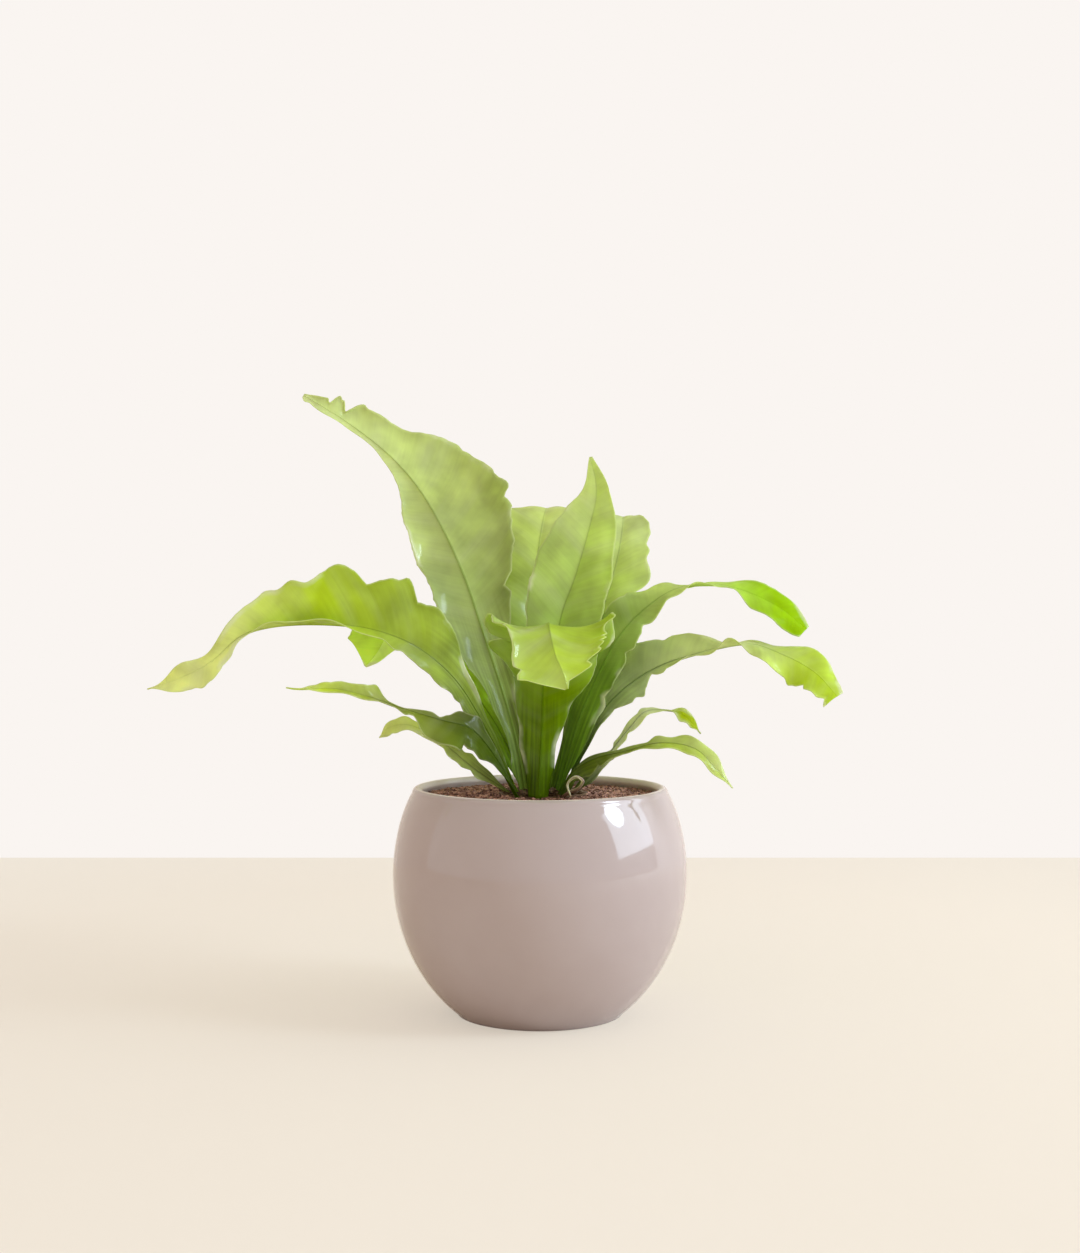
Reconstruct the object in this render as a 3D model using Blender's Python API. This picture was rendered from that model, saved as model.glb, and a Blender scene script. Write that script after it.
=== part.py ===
"""Potted bird's nest fern: a glazed ball pot, its potting mix, the fern's crown and its separate fronds.

Units are metres and +Z is up. The origin is the centre of the pot's foot, and the plant's front faces -Y.
The table of fronds and the pot's outline are in millimetres, as they would be measured with a rule.
"""

import math

import bmesh
import bpy
import numpy as np

MM = 0.001
GAP = 0.3  # clearance between touching pieces, mm

# Pot, mm: (radius, height) points of two curves up the outside, foot to belly and belly to shoulder
FOOT_RADIUS = 52.5
LOWER_CURVE = ((54.5, 1.5), (77.0, 19.0), (95.5, 51.0), (95.5, 90.0))
UPPER_CURVE = ((95.5, 90.0), (95.5, 112.0), (89.5, 133.0), (83.1, 143.7))
LIP_THICKNESS = 6.6
WALL = 5.5
FLOOR_THICKNESS = 8.0
CURVE_STEPS = 7
LIP_STEPS = 6
POT_SEGMENTS = 48

# Potting mix and crown (the short upright rhizome that carries the fronds), mm
MIX_EDGE_HEIGHT = 140.0
MIX_HEIGHT = 142.0
MIX_FLAT_RADIUS = 35.0
MIX_SIDE_GAP = 0.4
CROWN_RADIUS = 29.0
CROWN_EDGE = 0.6
CROWN_RISE = 1.5
CROWN_CENTRE = (2.0, 0.0)
CROWN_SEGMENTS = 24
CROWN_RINGS = 6

# Fronds, mm
BLADE_THICKNESS = 1.2
RIB_THICKNESS = 2.4
MARGIN_THICKNESS = 0.8
ABOVE = 0.4  # the share of the thickness that lies above the blade's middle surface
TIP_TAPER = 0.5
STEPS_PER_STATION = 3
HALF_STEPS = 2
LEAST_WIDTH = 0.3
RUFFLE_LENGTH = 60.0  # the ruffle grows to its full height over this length of stalk
RUFFLE_WIDTH = 10.0  # and dies away where a half blade is narrower than this
MARGIN_SHIFT = 1.3  # radians by which the two margins' waves are out of step

# Each frond: the compass heading it grows towards (0 is +X, 90 is +Y), the height and wavelength of its
# ruffled margins, the bow of each half blade, and its stations from base to tip. A station gives the
# midrib's x, y, z, then the width and lift of the left half blade, then those of the right half blade.
# Left is as seen when looking along the heading. A lift of 0 is flat and 90 stands up from the midrib.
FRONDS = {
    "frond_tall_left": dict(
        heading=105, ruffle=1.6, wave=38, phase=0.4, lobe=0.02, bow=-0.10,
        stations=(
            (-10, 3, 143, 4, 30, 5, 30),
            (-16, 5, 177, 8, 30, 6, 30),
            (-25, 11, 209, 14, 20, 9, 25),
            (-36, 18, 242, 22, 10, 17, 15),
            (-51, 30, 285, 27, 5, 35, 10),
            (-68, 42, 321, 25, 0, 52, 5),
            (-86, 52, 349, 13, 0, 49, 0),
            (-107, 58, 371, 5, 0, 23, 0),
            (-132, 60, 390, 4, 10, 15, 10),
            (-146, 59, 399, 5, 20, 8, 20),
            (-161, 56, 408, 1, 0, 1, 0),
        ),
    ),
    "frond_long_left": dict(
        heading=188, ruffle=2.0, wave=42, phase=-0.9, lobe=0.04, bow=0.06,
        stations=(
            (-15, -7, 143, 3, 20, 3, 20),
            (-33, -12, 181, 7, -30, 6, 45),
            (-50, -18, 211, 13, -40, 9, 60),
            (-66, -24, 229, 13, -45, 21, 75),
            (-87, -32, 243, 10, -45, 34, 80),
            (-113, -40, 251, 10, -15, 31, 80),
            (-143, -46, 253, 12, 15, 26, 85),
            (-169, -50, 251, 9, 10, 20, 85),
            (-186, -54, 245, 3, -30, 11, 70),
            (-203, -56, 230, 10, -65, 7, 60),
            (-222, -56, 220, 9, -70, 8, 60),
            (-243, -54, 213, 1, 0, 1, 0),
        ),
    ),
    "frond_drooping_left": dict(
        heading=112, ruffle=2.0, wave=26, phase=0.9, lobe=0.08, bow=0.10,
        stations=(
            (-8, 9, 143, 3, 20, 2, 20),
            (-30, 32, 185, 10, 20, 8, 20),
            (-61, 60, 226, 14, 10, 9, 10),
            (-82, 92, 250, 18, 0, 15, 0),
            (-98, 114, 254, 22, -5, 19, -5),
            (-110, 126, 244, 28, -5, 17, -5),
            (-118, 131, 231, 25, 0, 10, 0),
            (-127, 133, 220, 1, 0, 1, 0),
        ),
    ),
    "frond_low_left": dict(
        heading=200, ruffle=1.5, wave=24, phase=0.0, lobe=0.10, bow=0.10,
        stations=(
            (-13, -17, 143, 3, 0, 3, 20),
            (-29, -32, 169, 9, -40, 5, 50),
            (-43, -44, 187, 17, -50, 10, 60),
            (-60, -52, 193, 18, -55, 5, 40),
            (-76, -56, 198, 10, -50, 6, 30),
            (-87, -62, 202, 3, -20, 3, 10),
            (-105, -70, 209, 6, -20, 7, 60),
            (-125, -74, 214, 5, -30, 6, 60),
            (-146, -76, 214, 2, 0, 4, 0),
            (-154, -76, 215, 0.6, 0, 0.6, 0),
        ),
    ),
    "frond_small_left": dict(
        heading=190, ruffle=1.2, wave=20, phase=2.0, lobe=0.10, bow=0.10,
        stations=(
            (-20, -5, 143, 2, 0, 2, 20),
            (-44, -10, 160, 6, -50, 8, 50),
            (-64, -12, 177, 4, -50, 7, 50),
            (-82, -14, 187, 5, -40, 5, 40),
            (-95, -16, 187, 5, -50, 5, 50),
            (-103, -16, 180, 0.6, 0, 0.6, 0),
        ),
    ),
    "frond_front": dict(
        heading=-90, ruffle=2.5, wave=30, phase=0.7, lobe=0.05, bow=-0.10,
        stations=(
            (-1, -13, 143, 7, 30, 7, 30),
            (1, -26, 184, 13, 20, 16, 20),
            (2, -44, 216, 31, 15, 20, 15),
            (5, -64, 242, 40, 10, 36, 10),
            (5, -84, 254, 39, 5, 37, 5),
            (6, -106, 249, 34, 0, 25, 0),
            (9, -119, 236, 29, 0, 26, 0),
            (13, -126, 227, 18, 0, 23, 0),
            (16, -129, 217, 0.6, 0, 2, 0),
        ),
    ),
    "frond_tall_centre": dict(
        heading=80, ruffle=1.0, wave=60, phase=0.5, lobe=0.0, bow=0.08,
        stations=(
            (4, 7, 143, 3, 30, 3, 30),
            (9, 15, 202, 12, 20, 12, 20),
            (13, 21, 252, 23, 15, 27, 15),
            (24, 27, 285, 29, 10, 26, 10),
            (34, 32, 320, 21, 10, 18, 10),
            (38, 34, 342, 10, 5, 9, 5),
            (34, 33, 364, 1, 0, 1, 0),
        ),
    ),
    "frond_back_left": dict(
        heading=95, ruffle=2.0, wave=34, phase=1.1, lobe=0.05, bow=0.08,
        stations=(
            (-3, 14, 143, 3, 30, 3, 30),
            (-6, 34, 202, 12, 20, 12, 20),
            (-5, 60, 255, 20, 15, 20, 15),
            (-2, 80, 296, 25, 5, 24, 5),
            (2, 96, 323, 26, 0, 24, 0),
            (5, 118, 334, 20, 0, 20, 0),
            (7, 146, 327, 2, 0, 2, 0),
        ),
    ),
    "frond_back_right": dict(
        heading=75, ruffle=2.0, wave=34, phase=2.1, lobe=0.05, bow=0.08,
        stations=(
            (8, 14, 143, 2, 30, 3, 30),
            (25, 36, 201, 5, 20, 12, 20),
            (41, 60, 255, 19, 15, 19, 15),
            (53, 80, 293, 22, 5, 21, 5),
            (58, 98, 316, 21, 0, 19, 0),
            (60, 120, 328, 17, 0, 16, 0),
            (62, 150, 322, 2, 0, 2, 0),
        ),
    ),
    "frond_high_right": dict(
        heading=10, ruffle=2.0, wave=32, phase=0.3, lobe=0.05, bow=0.08,
        stations=(
            (12, -6, 143, 4, 20, 4, 0),
            (25, -8, 189, 9, 45, 11, -60),
            (38, -6, 220, 16, 50, 13, -60),
            (50, -2, 242, 18, 50, 13, -60),
            (66, 6, 260, 18, 50, 10, -50),
            (89, 16, 275, 14, 15, 10, -5),
            (114, 22, 278, 9, 0, 10, 0),
            (136, 24, 274, 11, 45, 13, -30),
            (159, 22, 263, 12, 60, 16, -50),
            (176, 18, 249, 4, 40, 10, -50),
        ),
    ),
    "frond_mid_right": dict(
        heading=-5, ruffle=2.5, wave=36, phase=1.3, lobe=0.08, bow=0.08,
        stations=(
            (17, 2, 143, 3, 20, 3, 0),
            (34, 10, 182, 8, 40, 8, -30),
            (50, 16, 204, 16, 50, 12, -50),
            (73, 20, 221, 22, 60, 8, -60),
            (99, 20, 231, 18, 50, 5, -10),
            (135, 16, 239, 10, 5, 12, 0),
            (160, 8, 232, 12, 45, 15, -65),
            (179, 0, 221, 14, 55, 14, -70),
            (192, -8, 206, 5, 50, 12, -70),
        ),
    ),
    "frond_thin_right": dict(
        heading=5, ruffle=1.5, wave=16, phase=0.8, lobe=0.10, bow=0.05,
        stations=(
            (20, -7, 143, 2, 20, 2, 0),
            (31, -4, 152, 4, 40, 4, -40),
            (40, -2, 162, 4, 40, 4, -40),
            (50, 0, 174, 3, 40, 3, -40),
            (59, 2, 185, 4, 40, 4, -40),
            (69, 4, 195, 4, 30, 4, -30),
            (84, 6, 196, 2, 0, 3, 0),
            (95, 6, 192, 6, 50, 6, -50),
            (105, 4, 181, 1, 0, 1, 0),
        ),
    ),
    "frond_low_right": dict(
        heading=-25, ruffle=1.5, wave=22, phase=1.9, lobe=0.10, bow=0.10,
        stations=(
            (12, -14, 143, 3, 20, 6, -40),
            (22, -26, 159, 5, 30, 11, -50),
            (36, -34, 168, 6, 30, 9, -50),
            (54, -42, 173, 5, 30, 5, -20),
            (75, -50, 179, 6, 40, 6, -30),
            (96, -56, 176, 7, 45, 6, -30),
            (109, -58, 163, 5, 40, 4, -30),
            (119, -58, 152, 0.6, 0, 0.6, 0),
        ),
    ),
    "frond_rear_left": dict(
        heading=106, ruffle=2.0, wave=30, phase=0.2, lobe=0.05, bow=0.08,
        stations=(
            (-8, 17, 143, 2, 20, 2, 20),
            (-14, 52, 180, 9, 15, 9, 15),
            (-24, 92, 206, 16, 10, 16, 10),
            (-34, 130, 214, 19, 5, 19, 5),
            (-42, 162, 204, 16, 0, 16, 0),
            (-46, 182, 188, 1, 0, 1, 0),
        ),
    ),
    "frond_rear_centre": dict(
        heading=88, ruffle=2.0, wave=32, phase=1.7, lobe=0.05, bow=0.08,
        stations=(
            (2, 20, 143, 3, 20, 3, 20),
            (4, 62, 200, 11, 15, 11, 15),
            (8, 104, 232, 20, 10, 20, 10),
            (12, 146, 236, 22, 5, 22, 5),
            (16, 184, 218, 17, 0, 17, 0),
            (18, 204, 198, 1, 0, 1, 0),
        ),
    ),
    "frond_rear_right": dict(
        heading=72, ruffle=2.0, wave=30, phase=2.6, lobe=0.05, bow=0.08,
        stations=(
            (13, 15, 143, 2, 20, 2, 20),
            (26, 50, 186, 9, 15, 9, 15),
            (38, 88, 214, 16, 10, 16, 10),
            (46, 122, 222, 18, 5, 18, 5),
            (50, 150, 210, 14, 0, 14, 0),
            (52, 168, 194, 1, 0, 1, 0),
        ),
    ),
    "withered_frond": dict(
        heading=-20, ruffle=0.8, wave=9, phase=0.5, lobe=0.10, bow=0.20,
        stations=(
            (15, -25, 143, 1.2, 30, 1.2, 30),
            (19, -33, 147, 1.2, 30, 1.2, 30),
            (24, -41, 150, 1.4, 40, 1.4, 25),
            (27, -44, 155, 1.6, 60, 1.6, 10),
            (22, -45, 158, 1.4, 60, 1.4, 0),
            (17, -44, 153, 1.0, 40, 1.0, 0),
            (19, -45, 146, 0.5, 0, 0.5, 0),
        ),
    ),
}


def material(name, colour, roughness):
    """A Principled material from an sRGB colour such as 0x8A9A5B."""
    made = bpy.data.materials.new(name)
    made.use_nodes = True
    channels = [((colour >> shift) & 255) / 255 for shift in (16, 8, 0)]
    linear = [c / 12.92 if c <= 0.04045 else ((c + 0.055) / 1.055) ** 2.4 for c in channels]
    shader = made.node_tree.nodes["Principled BSDF"]
    shader.inputs["Base Color"].default_value = (*linear, 1.0)
    shader.inputs["Roughness"].default_value = roughness
    return made


def add_object(name, shape, look):
    """Turns a bmesh into a smooth-shaded object of this name."""
    mesh = bpy.data.meshes.new(name)
    shape.to_mesh(mesh)
    shape.free()
    mesh.shade_smooth()
    mesh.materials.append(look)
    made = bpy.data.objects.new(name, mesh)
    bpy.context.scene.collection.objects.link(made)
    return made


def turned(profile, segments, centre=(0.0, 0.0)):
    """A closed solid turned about Z from (radius, height) points that start and end on the axis, in mm."""
    shape = bmesh.new()
    points = [shape.verts.new((radius * MM, 0.0, height * MM)) for radius, height in profile]
    edges = [shape.edges.new(pair) for pair in zip(points, points[1:])]
    bmesh.ops.spin(
        shape, geom=points + edges, cent=(0, 0, 0), axis=(0, 0, 1), angle=math.tau, steps=segments,
        use_merge=True,
    )
    bmesh.ops.remove_doubles(shape, verts=shape.verts, dist=0.00001)
    bmesh.ops.translate(shape, verts=shape.verts, vec=(centre[0] * MM, centre[1] * MM, 0.0))
    bmesh.ops.recalc_face_normals(shape, faces=shape.faces)
    return shape


def bezier(points, steps):
    """Points on a cubic Bezier curve, both ends included."""
    start, first, second, end = np.array(points, float)
    t = np.linspace(0.0, 1.0, steps + 1)[:, None]
    return (1 - t) ** 3 * start + 3 * t * (1 - t) ** 2 * first + 3 * t * t * (1 - t) * second + t**3 * end


def inner_wall():
    """The inside of the pot from its floor up to the lip, as (radius, height) rows."""
    lower = np.array(LOWER_CURVE) - (WALL, 0.0)
    lower[:2, 1] += (FLOOR_THICKNESS - lower[0, 1], FLOOR_THICKNESS / 2)
    upper = np.array(UPPER_CURVE) - (WALL, 0.0)
    upper[3, 0] = UPPER_CURVE[3][0] - LIP_THICKNESS
    return np.vstack([bezier(lower, CURVE_STEPS), bezier(upper, CURVE_STEPS)[1:]])


def add_pot():
    outer = np.vstack([bezier(LOWER_CURVE, CURVE_STEPS), bezier(UPPER_CURVE, CURVE_STEPS)[1:]])
    round_radius = LIP_THICKNESS / 2
    radius, height = UPPER_CURVE[3]
    lip = [
        (radius - round_radius + round_radius * math.cos(a), height + round_radius * math.sin(a))
        for a in np.linspace(0.0, math.pi, LIP_STEPS + 1)[1:-1]
    ]
    inner = inner_wall()[::-1]
    profile = [(0.0, 0.0), (FOOT_RADIUS, 0.0), *outer, *lip, *inner, (0.0, FLOOR_THICKNESS)]
    glaze = material("taupe_glazed_stoneware", 0xB5A49D, 0.12)
    return add_object("pot", turned(profile, POT_SEGMENTS), glaze)


def add_potting_mix():
    wall = inner_wall() - (MIX_SIDE_GAP, 0.0)
    wall[:, 1] = np.maximum(wall[:, 1], FLOOR_THICKNESS + GAP)
    below = wall[wall[:, 1] < MIX_EDGE_HEIGHT - GAP]
    edge_radius = np.interp(MIX_EDGE_HEIGHT, wall[:, 1], wall[:, 0])
    profile = [
        (0.0, FLOOR_THICKNESS + GAP),
        *below,
        (edge_radius, MIX_EDGE_HEIGHT),
        (MIX_FLAT_RADIUS, MIX_HEIGHT),
        (0.0, MIX_HEIGHT),
    ]
    return add_object("potting_mix", turned(profile, POT_SEGMENTS), material("coco_bark_mix", 0x7A4E3C, 0.95))


def crown_top(x, y):
    """Height of the crown's domed top over a point, mm."""
    share = ((x - CROWN_CENTRE[0]) ** 2 + (y - CROWN_CENTRE[1]) ** 2) / CROWN_RADIUS**2
    return MIX_HEIGHT + GAP + CROWN_EDGE + CROWN_RISE * (1.0 - np.minimum(share, 1.0))


def add_crown():
    bottom = MIX_HEIGHT + GAP
    dome = [
        (CROWN_RADIUS * share, bottom + CROWN_EDGE + CROWN_RISE * (1.0 - share**2))
        for share in np.linspace(1.0, 0.0, CROWN_RINGS)
    ]
    profile = [(0.0, bottom), (CROWN_RADIUS, bottom), *dome]
    shape = turned(profile, CROWN_SEGMENTS, CROWN_CENTRE)
    return add_object("crown", shape, material("scaly_rhizome", 0x3E3A1E, 0.9))


def through(rows, steps):
    """A smooth curve through the rows of a table, with this many steps between two rows."""
    rows = np.array(rows, float)
    padded = np.vstack([2 * rows[0] - rows[1], rows, 2 * rows[-1] - rows[-2]])
    samples = []
    for before, start, end, after in zip(padded, padded[1:], padded[2:], padded[3:]):
        slope = end - before
        bend = 2 * before - 5 * start + 4 * end - after
        jerk = 3 * (start - end) + after - before
        for t in np.arange(steps) / steps:
            samples.append(start + 0.5 * t * (slope + t * (bend + t * jerk)))
    return np.array(samples + [rows[-1]])


def blade(frond, steps_per_station, half_steps):
    """The frond's middle surface: points and normals, each as [station, across, xyz], in mm.

    Each half of the blade turns about the midrib by its lift. Its margin swings in and out by lobe,
    and up and down by ruffle, once in each wave of the length.
    """
    table = through(frond["stations"], steps_per_station)
    rib = table[:, :3]
    along = np.gradient(rib, axis=0)
    along /= np.linalg.norm(along, axis=1)[:, None]
    heading = math.radians(frond["heading"])
    side = np.array([-math.sin(heading), math.cos(heading), 0.0])
    side = side - (along @ side)[:, None] * along
    side /= np.linalg.norm(side, axis=1)[:, None]
    up = np.cross(along, side)
    travelled = np.concatenate([[0.0], np.cumsum(np.linalg.norm(np.diff(rib, axis=0), axis=1))])
    ruffle = frond["ruffle"] * np.clip(travelled / RUFFLE_LENGTH, 0.0, 1.0) ** 2
    points = []
    for share in np.linspace(1.0, -1.0, 2 * half_steps + 1):
        width, lift = (table[:, 3], table[:, 4]) if share >= 0 else (table[:, 5], table[:, 6])
        lift = np.radians(lift)[:, None]
        hand = 1.0 if share >= 0 else -1.0
        outward = hand * side * np.cos(lift) + up * np.sin(lift)
        normal = up * np.cos(lift) - hand * side * np.sin(lift)
        turn = math.tau * travelled / frond["wave"] + frond["phase"] + MARGIN_SHIFT * hand
        reach = np.maximum(width, LEAST_WIDTH) * abs(share) * (1 + frond["lobe"] * np.cos(turn))
        waves = ruffle * np.minimum(width / RUFFLE_WIDTH, 1.0) * np.sin(turn)
        bend = frond["bow"] * width * 4 * abs(share) * (1 - abs(share)) + waves * share**2
        points.append(rib + outward * reach[:, None] + normal * bend[:, None])
    points = np.array(points).transpose(1, 0, 2)
    normals = np.cross(np.gradient(points, axis=1), np.gradient(points, axis=0))
    return points, normals / np.linalg.norm(normals, axis=2)[:, :, None]


def add_frond(name, frond, look):
    """A closed solid round the frond's middle surface, thickest at the midrib, standing on the crown."""
    middle, normals = blade(frond, STEPS_PER_STATION, HALF_STEPS)
    rings, across = middle.shape[:2]
    share = np.abs(np.linspace(-1.0, 1.0, across))
    thickness = np.tile(MARGIN_THICKNESS + (BLADE_THICKNESS - MARGIN_THICKNESS) * (1 - share), (rings, 1))
    thickness[:, HALF_STEPS] = np.linspace(RIB_THICKNESS, RIB_THICKNESS * TIP_TAPER, rings)
    upper = middle + normals * thickness[:, :, None] * ABOVE
    lower = middle - normals * thickness[:, :, None] * (1 - ABOVE)
    for face in (upper, lower):
        face[0, :, 2] = crown_top(face[0, :, 0], face[0, :, 1]) + GAP
    shape = bmesh.new()
    upper = [[shape.verts.new(point * MM) for point in ring] for ring in upper]
    lower = [[shape.verts.new(point * MM) for point in ring] for ring in lower]
    # Both faces are split along the same diagonals, so that a twisted stretch keeps its thickness.
    for top, bottom, next_top, next_bottom in zip(upper, lower, upper[1:], lower[1:]):
        for i in range(across - 1):
            shape.faces.new((top[i], top[i + 1], next_top[i + 1]))
            shape.faces.new((top[i], next_top[i + 1], next_top[i]))
            shape.faces.new((bottom[i], next_bottom[i + 1], bottom[i + 1]))
            shape.faces.new((bottom[i], next_bottom[i], next_bottom[i + 1]))
        for i in (0, across - 1):
            shape.faces.new((top[i], next_top[i], next_bottom[i], bottom[i]))
    for top, bottom in ((upper[0], lower[0]), (upper[-1], lower[-1])):
        for i in range(across - 1):
            shape.faces.new((top[i], top[i + 1], bottom[i + 1], bottom[i]))
    bmesh.ops.recalc_face_normals(shape, faces=shape.faces)
    return add_object(name, shape, look)


def clear_scene():
    for item in list(bpy.data.objects):
        bpy.data.objects.remove(item, do_unlink=True)


clear_scene()
add_pot()
add_potting_mix()
add_crown()
for frond_name, frond_table in FRONDS.items():
    add_frond(frond_name, frond_table, material(frond_name + "_green", 0x7FA02C, 0.45))
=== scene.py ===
"""Potted bird's nest fern: the finished surfaces of the pot, the bark mix, the crown and every frond."""

import math
import random

import bmesh
import bpy
import numpy as np
from mathutils import Matrix, Vector, noise


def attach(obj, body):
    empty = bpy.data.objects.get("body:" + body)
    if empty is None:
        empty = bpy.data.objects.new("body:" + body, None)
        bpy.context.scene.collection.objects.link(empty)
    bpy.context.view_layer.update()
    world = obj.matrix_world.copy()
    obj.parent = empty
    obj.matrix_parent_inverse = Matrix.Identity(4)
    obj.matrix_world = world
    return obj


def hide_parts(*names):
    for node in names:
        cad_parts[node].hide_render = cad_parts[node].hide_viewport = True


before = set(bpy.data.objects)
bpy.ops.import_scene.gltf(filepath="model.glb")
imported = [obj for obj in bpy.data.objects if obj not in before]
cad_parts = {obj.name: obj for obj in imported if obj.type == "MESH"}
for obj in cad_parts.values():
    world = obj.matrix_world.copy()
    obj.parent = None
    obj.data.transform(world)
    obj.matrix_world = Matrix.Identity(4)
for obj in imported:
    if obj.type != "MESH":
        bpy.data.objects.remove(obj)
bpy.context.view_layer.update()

# --- Room and camera ---------------------------------------------------------------------------------------
# The plant stands on a pale floor in front of a plain off-white wall. A long lens looks across at it from
# just above the pot, so that the mouth of the pot is a thin ellipse.
MM = 0.001
CAMERA_DISTANCE = 1.128
CAMERA_HEIGHT = 0.267
CAMERA_PITCH = math.radians(0.81)
FOCAL_MM = 49.85
SENSOR_MM = 36.0
FARTHEST_SEEN = 30.0
WALL_DISTANCE = 0.68
STAGE_HALF_SIZE = 6.0
FLOOR_COLOUR = 0xF1E9DC
WALL_COLOUR = 0xFAF5F1
FLOOR_SHADOW = 0.45  # the share of the floor's own shading that the camera sees round the pot
SHADOW_FADE = {"From Min": 0.5, "From Max": 1.1, "To Max": 0.0}  # metres from the pot's foot
LAMP_COLOUR = 0xDBEEFF
LAMP_AIM = Vector((0, 0, 0.13))
ROOM_COLOUR = 0xFFF1E4
ROOM_STRENGTH = 0.77


def linear(colour):
    """An sRGB hex colour such as 0x8A9A5B as linear RGBA."""
    channels = [((colour >> shift) & 255) / 255 for shift in (16, 8, 0)]
    return (*[c / 12.92 if c <= 0.04045 else ((c + 0.055) / 1.055) ** 2.4 for c in channels], 1.0)


def add_node(tree, kind, links=None, **settings):
    """Adds a shader node. Settings are its properties. Links sets or joins its inputs, by name or number."""
    node = tree.nodes.new(kind)
    for name, value in settings.items():
        setattr(node, name, value)
    for name, value in (links or {}).items():
        if isinstance(value, bpy.types.NodeSocket):
            tree.links.new(value, node.inputs[name])
        else:
            node.inputs[name].default_value = value
    return node


def new_material(name):
    """An empty node material, with its tree."""
    made = bpy.data.materials.new(name)
    made.use_nodes = True
    made.node_tree.nodes.clear()
    return made, made.node_tree


def finish_object(name, shape, look, smooth=True):
    """A bmesh in metres as an object at the origin."""
    mesh = bpy.data.meshes.new(name)
    shape.to_mesh(mesh)
    shape.free()
    if smooth:
        mesh.shade_smooth()
    mesh.materials.append(look)
    made = bpy.data.objects.new(name, mesh)
    bpy.context.scene.collection.objects.link(made)
    return made


def stage_plane(name, place, colour, shadow):
    """A plain matt sheet that the camera sees in its flat colour, less a share of the shading near the pot.

    Its back is clear to the camera, so that a view from behind it still shows the plant.
    """
    shape = bmesh.new()
    bmesh.ops.create_grid(shape, x_segments=1, y_segments=1, size=STAGE_HALF_SIZE, matrix=place)
    look, tree = new_material(name + "_paint")
    matt = add_node(tree, "ShaderNodeBsdfDiffuse", {"Color": linear(colour)}).outputs[0]
    flat = add_node(tree, "ShaderNodeEmission", {"Color": linear(colour), "Strength": 1.0}).outputs[0]
    spot = add_node(tree, "ShaderNodeTexCoord").outputs["Object"]
    distance = add_node(tree, "ShaderNodeVectorMath", {0: spot}, operation="LENGTH").outputs["Value"]
    shaded = add_node(
        tree, "ShaderNodeMapRange", {"Value": distance, "To Min": shadow, **SHADOW_FADE}
    ).outputs[0]
    seen = add_node(tree, "ShaderNodeMixShader", {0: shaded, 1: flat, 2: matt}).outputs[0]
    clear = add_node(tree, "ShaderNodeBsdfTransparent").outputs[0]
    behind = add_node(tree, "ShaderNodeNewGeometry").outputs["Backfacing"]
    seen = add_node(tree, "ShaderNodeMixShader", {0: behind, 1: seen, 2: clear}).outputs[0]
    by_camera = add_node(tree, "ShaderNodeLightPath").outputs["Is Camera Ray"]
    both = add_node(tree, "ShaderNodeMixShader", {0: by_camera, 1: matt, 2: seen}).outputs[0]
    add_node(tree, "ShaderNodeOutputMaterial", {"Surface": both})
    finish_object(name, shape, look)


upright = Matrix.Rotation(math.pi / 2, 4, "X")
stage_plane("floor", Matrix.Identity(4), FLOOR_COLOUR, FLOOR_SHADOW)
stage_plane("wall", Matrix.Translation((0, WALL_DISTANCE, 0)) @ upright, WALL_COLOUR, 0.0)

lens = bpy.data.cameras.new("camera")
lens.lens = FOCAL_MM
lens.sensor_width = SENSOR_MM
lens.clip_end = FARTHEST_SEEN
camera = bpy.data.objects.new("camera", lens)
camera.location = (0.0, -CAMERA_DISTANCE, CAMERA_HEIGHT)
camera.rotation_euler = (math.pi / 2 - CAMERA_PITCH, 0.0, 0.0)
bpy.context.scene.collection.objects.link(camera)
bpy.context.scene.camera = camera


def soft_light(name, outline, place, width, height, watts):
    """A broad cool-white lamp at a place, turned to face the pot."""
    lamp = bpy.data.lights.new(name, "AREA")
    lamp.shape = outline
    lamp.size = width
    lamp.size_y = height
    lamp.energy = watts
    lamp.color = linear(LAMP_COLOUR)[:3]
    made = bpy.data.objects.new(name, lamp)
    made.location = place
    made.rotation_euler = (LAMP_AIM - Vector(place)).to_track_quat("-Z", "Y").to_euler()
    bpy.context.scene.collection.objects.link(made)


soft_light("window", "RECTANGLE", place=(3.0, -0.35, 1.35), width=2.5, height=1.7, watts=52.0)
soft_light("lamp", "ELLIPSE", place=(2.44, -0.82, 1.71), width=0.76, height=1.00, watts=25.0)

# The room's own light is warm and a little dim. The camera and the glaze see the wall's colour instead.
world = bpy.data.worlds.new("soft_room")
world.use_nodes = True
tree = world.node_tree
tree.nodes.clear()
room = add_node(
    tree, "ShaderNodeBackground", {"Color": linear(ROOM_COLOUR), "Strength": ROOM_STRENGTH}
).outputs[0]
plain = add_node(tree, "ShaderNodeBackground", {"Color": linear(WALL_COLOUR), "Strength": 1.0}).outputs[0]
path = add_node(tree, "ShaderNodeLightPath").outputs
shown = add_node(
    tree, "ShaderNodeMath", {0: path["Is Camera Ray"], 1: path["Is Glossy Ray"]}, operation="MAXIMUM"
).outputs[0]
backdrop = add_node(tree, "ShaderNodeMixShader", {0: shown, 1: room, 2: plain}).outputs[0]
add_node(tree, "ShaderNodeOutputWorld", {"Surface": backdrop})
bpy.context.scene.world = world
bpy.context.scene.view_settings.view_transform = "Standard"

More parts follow.
